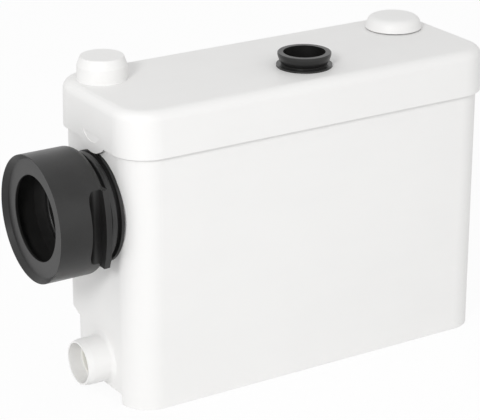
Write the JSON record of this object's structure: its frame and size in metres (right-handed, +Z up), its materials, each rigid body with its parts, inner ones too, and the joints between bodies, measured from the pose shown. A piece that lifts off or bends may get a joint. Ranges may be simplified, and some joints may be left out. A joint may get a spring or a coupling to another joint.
{
  "type": "macerator toilet pump",
  "caption": "Slim white macerator tank for behind a toilet pan, with side inlet sleeve, low side spigot, lid grommet outlet, vent cap and full working pump inside.",
  "frame": {"origin": "middle of the whole part's plan, on the plane of its feet", "axes": "+X along the tank away from the inlet sleeve, +Y towards the wall behind, +Z up"},
  "size_m": [0.4656, 0.1514, 0.312],
  "materials": {
    "white_plastic": "moulded, semi-gloss",
    "black_rubber": "moulded, slightly glossy",
    "black_plastic": "moulded, satin",
    "grey_plastic": "moulded, satin",
    "dark_plastic": "moulded, satin",
    "pale_plastic": "moulded, satin",
    "steel": "brushed",
    "core_steel": "laminated, dull",
    "copper": "lacquered copper wire",
    "aluminium": "plain",
    "carbon_foam": "porous, dull"
  },
  "bodies": {
    "housing": {"tank": "white_plastic", "inlet_sleeve": "black_rubber", "wall_seal": "black_rubber", "outlet_socket": "black_rubber", "lid_gasket": "black_rubber", "foot_pads": "black_rubber", "pump_outlet_hose": "black_rubber", "cable_bush": "black_rubber", "shaft_seal": "black_rubber", "volute_seal": "black_rubber", "pressure_diaphragm": "black_rubber", "sleeve_ring": "black_plastic", "inner_leads": "black_plastic", "inlet_flap_frame": "black_plastic", "inlet_chute": "grey_plastic", "macerator_basket": "grey_plastic", "pump_volute": "grey_plastic", "suction_plate": "grey_plastic", "motor_flange": "grey_plastic", "motor_cover": "grey_plastic", "discharge_riser": "grey_plastic", "discharge_valve_body": "grey_plastic", "pressure_bell": "grey_plastic", "electrics_box": "dark_plastic", "switch_housing": "dark_plastic", "microswitch": "dark_plastic", "electrics_cover": "pale_plastic", "terminal_block": "pale_plastic", "side_flap_frame": "pale_plastic", "motor_can": "steel", "motor_cover_screws": "steel", "motor_post_screws": "steel", "pump_screws": "steel", "deck_screws": "steel", "electrics_screws": "steel", "hose_clamps": "steel", "inlet_flap_pin": "steel", "side_flap_pin": "steel", "discharge_flap_pin": "steel", "lower_bearing": "steel", "upper_bearing": "steel", "stator_core": "core_steel", "stator_windings": "copper", "run_capacitor": "aluminium"},
    "lid": {"lid": "white_plastic", "discharge_grommet": "black_rubber", "carbon_filter": "carbon_foam", "filter_cup": "grey_plastic"},
    "vent_cap": {"vent_cap": "white_plastic"},
    "rotor": {"motor_shaft": "steel", "rotor_core": "core_steel", "impeller": "dark_plastic", "impeller_nut": "steel", "cutter_blade": "steel"},
    "inlet_flap": {"inlet_flap": "black_rubber"},
    "side_flap": {"side_flap": "pale_plastic"},
    "discharge_flap": {"discharge_flap": "black_rubber"},
    "plunger": {"switch_plunger": "pale_plastic"},
    "lever": {"switch_lever": "steel"},
    "button": {"switch_button": "pale_plastic"}
  },
  "joints": [
    {"name": "rotor_spin", "type": "hinge", "parent": "housing", "child": "rotor", "pos_m": [-0.03843, 0.00305, 0.1], "axis": [0, 0, 1], "continuous": true},
    {"name": "inlet_flap_hinge", "type": "hinge", "parent": "housing", "child": "inlet_flap", "pos_m": [-0.15534, -0.004, 0.2284], "axis": [0, -1, 0], "range_deg": [0, 50]},
    {"name": "side_flap_hinge", "type": "hinge", "parent": "housing", "child": "side_flap", "pos_m": [-0.15534, -0.0093, 0.0589], "axis": [0, -1, 0], "range_deg": [0, 60]},
    {"name": "discharge_flap_hinge", "type": "hinge", "parent": "housing", "child": "discharge_flap", "pos_m": [0.06076, -0.0275, 0.1907], "axis": [0, 1, 0], "range_deg": [0, 60]},
    {"name": "plunger_slide", "type": "slide", "parent": "housing", "child": "plunger", "axis": [0, 0, 1], "range_m": [0, 0.0025]},
    {"name": "lever_hinge", "type": "hinge", "parent": "housing", "child": "lever", "pos_m": [0.09556, 0, 0.1789], "axis": [0, -1, 0], "range_deg": [0, 8.5]},
    {"name": "button_slide", "type": "slide", "parent": "housing", "child": "button", "axis": [0, 0, 1], "range_m": [0, 0.0006]},
    {"name": "lid_lift", "type": "slide", "parent": "housing", "child": "lid", "axis": [0, 0, 1], "range_m": [0, 0.07]},
    {"name": "vent_cap_lift", "type": "slide", "parent": "lid", "child": "vent_cap", "axis": [0, 0, 1], "range_m": [0, 0.014]}
  ],
  "couplings": [
    {"joint": "lever_hinge", "follows": "plunger_slide", "rad_per_m": 58.405},
    {"joint": "button_slide", "follows": "plunger_slide", "ratio": 0.2059}
  ]
}
